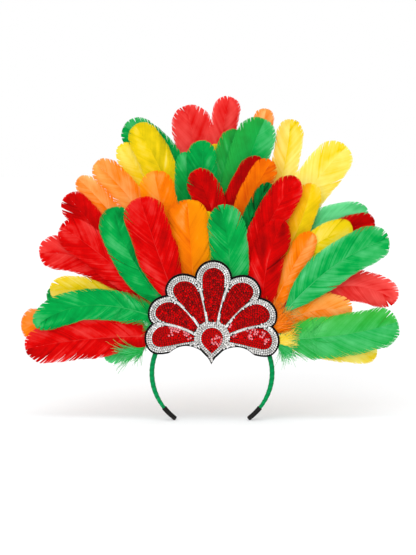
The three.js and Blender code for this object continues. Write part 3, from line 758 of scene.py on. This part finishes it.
# Rows that fill what is left: from the edge, and their pitch.
FILLING = ((2.2, 2.1), (4.4, 2.1), (1.6, 1.9), (2.7, 1.9), (3.8, 1.9), (4.9, 1.9))
EDGE_CLEAR = 0.85
POINT_CLEAR = 0.75
RIB_PITCH = 1.75
RIB_SPREAD = 0.65  # how far the rib's sequins step to each side
RIB_CLEAR = 0.62
RIB_END = 66.0
FULL_GLINT = 0.75  # of a sequin that is as bright as it gets without a flash
FLASH_SHARE = 0.75
SILVER_FLASHES = 0.15
PETALS = [
    # name, angle, inner, reach, foot, head, bow
    ("petal_left_low", -91.5, 20.0, 67.0, 2.7, 11.4, 3.0),
    ("petal_left_middle", -63.3, 20.0, 70.0, 2.6, 11.6, 4.0),
    ("petal_left_upper", -33.0, 20.0, 73.0, 3.2, 12.2, 2.9),
    ("petal_top", 0.0, 18.5, 79.0, 4.0, 12.3, 0.0),
    ("petal_right_upper", 33.0, 20.0, 73.0, 3.2, 12.2, 2.9),
    ("petal_right_middle", 63.3, 20.0, 70.0, 2.6, 11.6, 4.0),
    ("petal_right_low", 91.5, 20.0, 67.0, 2.7, 11.4, 3.0),
]


def curve(start, pull, end, steps=16):
    """Points along a simple bend from start to end, without the end."""
    t = np.linspace(0.0, 1.0, steps, endpoint=False)[:, None]
    return bent(np.array(start), np.array(pull), np.array(end), t)


def petal_outline(row, margin):
    """A petal's outline grown by a margin, in the badge's own plane."""
    _, angle, inner, reach, foot, head, bow = row
    wide, centre, begin = head + margin, reach - head, inner - margin
    belly = begin + (centre - begin) * PETAL_BELLY
    turn = np.linspace(0.0, np.pi, 40)[:-1, None]
    outline = np.concatenate(
        [
            curve((foot + margin, begin), (wide, belly), (wide, centre)),
            np.concatenate([wide * np.cos(turn), centre + wide * np.sin(turn)], axis=1),
            curve((-wide, centre), (-wide, belly), (-foot - margin, begin)),
            curve((-foot - margin, begin), (0.0, begin), (foot + margin, begin), 6),
        ]
    )
    along = np.clip((outline[:, 1] - inner) / (reach - inner), 0.0, 1.0)
    outline[:, 0] -= np.sign(angle) * bow * 4.0 * along * (1.0 - along)
    spin = np.radians(-angle)
    return outline @ np.array([[np.cos(spin), np.sin(spin)], [-np.sin(spin), np.cos(spin)]])


def drop_outline(margin):
    """The drop's outline grown by a margin."""
    radius, point = DROP_RADIUS + margin, DROP_POINT + 1.4 * margin
    begin = np.arccos(radius / point) - np.pi / 2.0
    turn = np.linspace(begin, np.pi - begin, 48)[:, None]
    tip = np.array([[0.0, -point]])
    return np.concatenate([tip, radius * np.concatenate([np.cos(turn), np.sin(turn)], axis=1)])


def peak_outline(margin):
    """The outline of the border's point under the drop."""
    x, y = PEAK_WAIST
    low = -PEAK_POINT - 1.6 * margin
    shoulder = -8.0 - margin
    return np.concatenate(
        [
            curve((0.0, low), (x + margin, y - margin), (PEAK_SHOULDER, shoulder)),
            curve((PEAK_SHOULDER, shoulder), (10.0, -4.0), (0.0, 0.0), 6),
            curve((0.0, 0.0), (-10.0, -4.0), (-PEAK_SHOULDER, shoulder), 6),
            curve((-PEAK_SHOULDER, shoulder), (-x - margin, y - margin), (0.0, low)),
        ]
    )


def inside_by(outline, spots):
    """How far each spot lies inside an outline, negative outside."""
    a, b = outline, np.roll(outline, -1, axis=0)
    step = b - a
    to = spots[:, None, :] - a[None]
    share = np.clip((to * step).sum(-1) / np.maximum(1e-9, (step * step).sum(-1)), 0.0, 1.0)
    away = np.linalg.norm(to - share[..., None] * step, axis=-1).min(axis=1)
    above = (a[None, :, 1] > spots[:, None, 1]) != (b[None, :, 1] > spots[:, None, 1])
    rise = np.where(np.abs(step[:, 1]) < 1e-9, 1e-9, step[:, 1])
    crossing = a[None, :, 0] + (spots[:, None, 1] - a[None, :, 1]) * step[:, 0] / rise
    crosses = above & (spots[:, None, 0] < crossing)
    return np.where(crosses.sum(axis=1) % 2 == 1, away, -away)


def along_outline(outline, pitch):
    """Even places along a closed outline, and the way that it runs at each."""
    closed = np.concatenate([outline, outline[:1]])
    run = run_along(closed)
    at = np.arange(0.0, run[-1] - 0.5 * pitch, run[-1] / max(3, round(run[-1] / pitch)))
    spots = places_on(closed, run, at)
    return spots, unit(np.roll(spots, -1, axis=0) - np.roll(spots, 1, axis=0))


def inset(outline, depth):
    """An outline moved inwards, without the stretches where its sides would cross."""
    spots, ahead = along_outline(outline, 0.3)
    moved = spots + depth * square_on(ahead)
    return moved[inside_by(outline, moved) > depth - 0.05]


def sew_rows(rows, allowed):
    """Places for sequins along rows sewn to and fro, where allowed and clear of those already sewn.
    Also the way that the row runs at each, and its pitch."""
    sewn, heading, pitches = np.zeros((0, 2)), np.zeros((0, 2)), []
    for number, (outline, pitch) in enumerate(rows):
        spots, ahead = along_outline(outline, 0.2)
        fits = allowed(spots)
        ahead = ahead if number % 2 == 0 else -ahead
        last = np.full(2, np.inf)
        for spot, way in zip(spots[fits], ahead[fits]):
            if np.hypot(*(last - spot)) < pitch:
                continue
            if len(sewn) == 0 or np.hypot(*(sewn - spot).T).min() >= SEWN_CLEAR * pitch:
                sewn = np.concatenate([sewn, spot[None]])
                heading = np.concatenate([heading, way[None]])
                pitches.append(pitch)
                last = spot
    return sewn, heading, np.array(pitches)


def cup_sequin(sides):
    """A thin dished disc of radius 1 with a hole for the thread: its points and faces, facing up."""
    turn = np.linspace(0.0, 2.0 * np.pi, sides, endpoint=False)
    ring = np.stack([np.cos(turn), np.sin(turn)], axis=-1)
    profile = [(0.36, 0.0), (0.6, 0.03), (1.0, 0.26), (1.0, 0.14), (0.36, -0.1)]
    rings = [np.concatenate([ring * r, np.full((sides, 1), h)], axis=1) for r, h in profile]
    faces = []
    for i in range(len(profile)):
        for j in range(sides):
            here, after = i * sides, (i + 1) % len(profile) * sides
            faces.append([here + j, after + j, after + (j + 1) % sides, here + (j + 1) % sides])
    return np.concatenate(rings), faces


def sequin_field(name, spots, heading, rise, radius, least_painted_glint, flashing, dice, finish, slot):
    """Sequins at places on the badge, each tilted over the one before, as one piece."""
    cup, cup_faces = cup_sequin(SEQUIN_SIDES)
    cups = np.broadcast_to(radius, len(spots))[:, None, None] * cup[None]
    lean = np.radians(SEQUIN_TILT) + dice.normal(0.0, SEQUIN_WOBBLE, len(spots))
    roll = dice.normal(0.0, SEQUIN_WOBBLE, len(spots))
    ahead = np.stack([heading[:, 0] * np.cos(lean), heading[:, 1] * np.cos(lean), np.sin(lean)], axis=-1)
    beside = np.stack([-heading[:, 1] * np.cos(roll), heading[:, 0] * np.cos(roll), np.sin(roll)], axis=-1)
    up = unit(np.cross(ahead, beside))
    height = rise + SEQUIN_LIFT + dice.uniform(0.0, SEQUIN_LIFT, len(spots))
    middle = np.stack([spots[:, 0], spots[:, 1], height], axis=-1)
    body = (
        middle[:, None]
        + cups[..., :1] * ahead[:, None]
        + cups[..., 1:2] * beside[:, None]
        + cups[..., 2:] * up[:, None]
    )
    points = on_badge(body.reshape(-1, 3))
    faces = [[i * len(cup) + corner for corner in face] for i in range(len(spots)) for face in cup_faces]
    piece = add_piece(name, points, faces, finish, soft=False)
    # Each disc's glint is painted reflection: a random brightness from the field's least painted glint up,
    # and painted flashes where flashing.
    plain = least_painted_glint + (FULL_GLINT - least_painted_glint) * dice.random(len(spots))
    glint = np.where(flashing & (dice.random(len(spots)) < FLASH_SHARE), 1.0, plain)
    mark(piece, "glint", np.repeat(glint, len(cup)))


def on_badge(local):
    """Places in the badge's own plane, with their rise, as places on the headdress."""
    spin = np.radians(-BADGE_TILT)
    x = local[:, 0] * np.cos(spin) - local[:, 1] * np.sin(spin)
    z = local[:, 0] * np.sin(spin) + local[:, 1] * np.cos(spin) + BADGE_Z
    return np.stack([x, BADGE_FACE_Y - local[:, 2], z], axis=-1)


def foil(name, dark, bright, flash, roughness):
    """Sequin foil, coloured by each disc's glint: discs painted darker and brighter as painted reflection,
    and a few painted flashes.
    """
    finish, tree, shader = start_finish(name, roughness, Metallic=0.9, Specular_IOR_Level=0.15)
    glint = node(tree, "ShaderNodeAttribute", attribute_name="glint").outputs["Fac"]
    colour_by(tree, shader, glint, (0.0, dark), (FULL_GLINT, bright), (0.9, flash))
    rough_up(tree, shader, 2500.0, 0.08, 0.0001)
    return finish


def dark_ground_and_gap_shade(name, dark, light):
    """Closely woven cloth under the sequins, set very dark: its own colour and painted shade in the gaps
    between the discs.
    """
    finish, tree, shader = start_finish(name, 0.8, Specular_IOR_Level=0.2)
    weave = rough_up(tree, shader, 1800.0, 0.4, 0.0004)
    colour_by(tree, shader, weave, (0.35, dark), (0.7, light))
    return finish


# Silver foil: painted reflection from grey to near white, and white painted flashes.
silver_foil = foil("silver_foil", shade(200, 198, 195), shade(242, 240, 237), shade(255, 255, 255), 0.32)
# The grey ground is set near black, partly as painted shade between the silver discs.
grey_ground_and_gap_shade = dark_ground_and_gap_shade("grey_ground_and_gap_shade", shade(8, 8, 8), shade(30, 30, 29))
face_with("silver_border", grey_ground_and_gap_shade)

windows = [petal_outline(row, 0.0) for row in PETALS] + [drop_outline(0.0)]


def border_cover(margin):
    """The outlines whose union is the border, grown by a margin."""
    covers = [petal_outline(row, BORDER_WIDTH + margin) for row in PETALS]
    return covers + [drop_outline(DROP_RING + margin), peak_outline(margin)]


def on_border(spots):
    """True where a sequin lies on the silver border, clear of the windows and the outer edge."""
    lobes = np.max([inside_by(outline, spots) for outline in border_cover(0.0)[:-1]], axis=0)
    clear = np.max([inside_by(outline, spots) for outline in windows], axis=0)
    scooped = [
        np.hypot(spots[:, 0] - side * SCOOP_CENTRE[0], spots[:, 1] - SCOOP_CENTRE[1]) - SCOOP_RADIUS
        for side in (-1.0, 1.0)
    ]
    kept = (lobes > EDGE_CLEAR) & (np.min(scooped, axis=0) > EDGE_CLEAR)
    kept |= inside_by(peak_outline(0.0), spots) > POINT_CLEAR
    return kept & (clear < -RIB_CLEAR)


def rib_loop(first, second):
    """A narrow loop round the middle of the rib between two petals, from the drop's ring outwards."""
    sides = [petal_outline(first, 0.0), petal_outline(second, 0.0)]
    turns = np.radians(np.linspace(first[1], second[1], 240))[:, None]
    line, room = [], []
    for out in np.arange(DROP_RADIUS + 4.0, RIB_END, 1.0):
        spots = out * np.concatenate([np.sin(turns), np.cos(turns)], axis=1)
        nearest = np.max([inside_by(side, spots) for side in sides], axis=0)
        line.append(spots[nearest.argmin()])
        room.append(-nearest.min())
    line = np.array(line)
    step = np.clip(np.array(room) - RIB_CLEAR, 0.0, RIB_SPREAD)[:, None]
    beside = step * square_on(unit(np.gradient(line, axis=0)))
    return np.concatenate([line + beside, (line - beside)[::-1]])


dice = np.random.default_rng(21)
border_rows = [petal_outline(row, ROW_MARGINS[0]) for row in PETALS]
turn = np.linspace(0.0, 2.0 * np.pi, 90, endpoint=False)[:, None]
for margin in ROW_MARGINS:
    border_rows += border_cover(-margin)
    for side in (-1.0, 1.0):
        ring = (SCOOP_RADIUS + margin) * np.concatenate([np.cos(turn), np.sin(turn)], axis=1)
        border_rows.append(ring + np.array([side * SCOOP_CENTRE[0], SCOOP_CENTRE[1]]))
sewing = [(drop_outline(margin), SEQUIN_PITCH) for margin in ROW_MARGINS[:2]]
sewing += [(rib_loop(first, second), RIB_PITCH) for first, second in zip(PETALS, PETALS[1:])]
sewing += [(outline, SEQUIN_PITCH) for outline in border_rows]
sewing += [(outline, pitch) for margin, pitch in FILLING for outline in border_cover(-margin)]
spots, heading, pitches = sew_rows(sewing, on_border)
radii = np.minimum(SEQUIN_RADIUS, 0.5 * pitches)
# A share of the silver discs get painted flashes.
lit = dice.random(len(spots)) < SILVER_FLASHES
silver = (silver_foil, "silver_sequins")
sequin_field("silver_sequin_rows", spots, heading, BORDER_RISE, radii, 0.0, lit, dice, *silver)

# Red petals and drop
# Padded fields of red cup sequins, sewn in rows that follow each outline inwards to the middle, on
# red cloth, set very dark as painted shade in the gaps between the discs. Each field fills one window
# of the silver border.
FIELD_RISE = 1.6
RED_RADIUS = 1.22
RED_ROW = 2.5
RED_PITCH = 2.6
RED_CLEAR = 0.85  # of a sequin's radius, kept from the rim
FIELD_MIDDLE = 12.5  # deeper than the middle of any field
FILL_STEP = 0.6
FILL_PITCH = 0.85  # of the main rows' pitch
# Patches of sequins painted as flashes, a painted highlight where they catch the light: x, y and how wide.
FLASHES = [
    (-45.0, 8.5, 5.0), (-37.0, 9.4, 3.7), (-28.5, 5.0, 4.0),
    (-45.5, 4.5, 3.8), (-26.5, 0.5, 2.8), (-18.0, 1.0, 2.2),
    (41.5, 9.0, 4.2), (48.5, 7.5, 3.8), (55.5, 5.0, 3.8),
    (60.0, -0.5, 3.2), (57.5, -5.8, 3.2), (43.0, 2.5, 2.5),
    (25.5, 3.0, 3.2), (5.5, -2.5, 6.2), (19.7, 15.0, 1.8),
]

# The fields that lie lowest are painted brighter, a painted reflection of the floor's light: the least glint
# of their sequins.
PAINTED_FIELD_SHINE = {"centre_drop": 0.55, "petal_left_low": 0.4, "petal_right_low": 0.45, "petal_right_middle": 0.2}

# Red foil: painted reflection from dark to bright red, and painted pink flashes.
red_foil = foil("red_foil", shade(128, 0, 0), shade(224, 0, 3), shade(254, 132, 140), 0.3)
# The red ground is set very dark, partly as painted shade between the red discs.
red_ground_and_gap_shade = dark_ground_and_gap_shade("red_ground_and_gap_shade", shade(16, 0, 0), shade(44, 0, 1))
fields = [(row[0], petal_outline(row, 0.0)) for row in PETALS] + [("centre_drop", drop_outline(0.0))]
for name, rim in fields:
    face_with(name, red_ground_and_gap_shade)
    main = np.arange(RED_RADIUS, FIELD_MIDDLE, RED_ROW)
    fill = np.arange(2.0 * RED_RADIUS, FIELD_MIDDLE, FILL_STEP)
    sewing = [(inset(rim, depth), RED_PITCH) for depth in main]
    sewing += [(inset(rim, depth), FILL_PITCH * RED_PITCH) for depth in fill]
    sewing = [(row, pitch) for row, pitch in sewing if len(row) > 3]
    within = lambda spots, rim=rim: inside_by(rim, spots) > RED_CLEAR * RED_RADIUS
    spots, heading, _ = sew_rows(sewing, within)
    lit = np.zeros(len(spots), bool)
    for x, y, wide in FLASHES:
        lit |= np.hypot(spots[:, 0] - x, spots[:, 1] - y) < wide
    red = (PAINTED_FIELD_SHINE.get(name, 0.05), lit, dice, red_foil, "red_sequins")
    sequin_field(f"{name}_sequins", spots, heading, FIELD_RISE, RED_RADIUS, *red)

# Studio
# A plain white floor under the cap ends, broad soft light from above and the front, and a camera far
# off in front, a little above the middle of the fan.
FLOOR_Z = -115.6
AIM = np.array([-4.5, 0.0, 45.6])
CAMERA_AWAY = 2000.0
CAMERA_RISE = 4.5
FRAME_HIGH = 621.6
FLOOR_HALF = 12.0  # metres
ROOM_LIGHT = 0.58
LIGHTS = [
    # name, power, spread, turn from straight down, turn about the upright
    ("key", 1.7, 60.0, 12.0, -20.0),
    ("fill", 1.9, 60.0, 76.0, -16.0),
]

white_floor, tree, shader = start_finish("white_floor", 0.9, Specular_IOR_Level=0.1)
shader.inputs["Base Color"].default_value = (0.71, 0.715, 0.72, 1.0)
shader.inputs["Emission Color"].default_value = (1.0, 1.0, 1.0, 1.0)
shader.inputs["Emission Strength"].default_value = 0.19
floor_mesh = bpy.data.meshes.new("floor")
square = ((-1, -1), (1, -1), (1, 1), (-1, 1))
corners = [(x * FLOOR_HALF, y * FLOOR_HALF, FLOOR_Z * MM) for x, y in square]
floor_mesh.from_pydata(corners, [], [(0, 1, 2, 3)])
floor_mesh.materials.append(white_floor)
floor = place("floor", floor_mesh)

world = bpy.data.worlds.new("studio")
world.use_nodes = True
bpy.context.scene.world = world
tree = world.node_tree
background = tree.nodes["Background"]
seen = node(tree, "ShaderNodeLightPath").outputs["Is Camera Ray"]
brighter = {0: seen, 1: 1.0 - ROOM_LIGHT, 2: ROOM_LIGHT}
strength = node(tree, "ShaderNodeMath", brighter, operation="MULTIPLY_ADD")
tree.links.new(strength.outputs[0], background.inputs["Strength"])
background.inputs["Color"].default_value = (1.0, 1.0, 1.0, 1.0)

for name, power, spread, turn_x, turn_z in LIGHTS:
    lamp = bpy.data.lights.new(name, "SUN")
    lamp.energy = power
    lamp.angle = np.radians(spread)
    place(name, lamp).rotation_euler = (np.radians(turn_x), 0.0, np.radians(turn_z))

lens = bpy.data.cameras.new("camera")
lens.sensor_fit = "VERTICAL"
lens.sensor_height = 36.0
lens.lens = 36.0 * CAMERA_AWAY / FRAME_HIGH
lens.clip_end = 100.0
camera = place("camera", lens)
rise = np.radians(CAMERA_RISE)
camera.location = (AIM + CAMERA_AWAY * np.array([0.0, -np.cos(rise), np.sin(rise)])) * MM
camera.rotation_euler = (np.pi / 2.0 - rise, 0.0, 0.0)
bpy.context.scene.camera = camera
bpy.context.scene.view_settings.view_transform = "Standard"
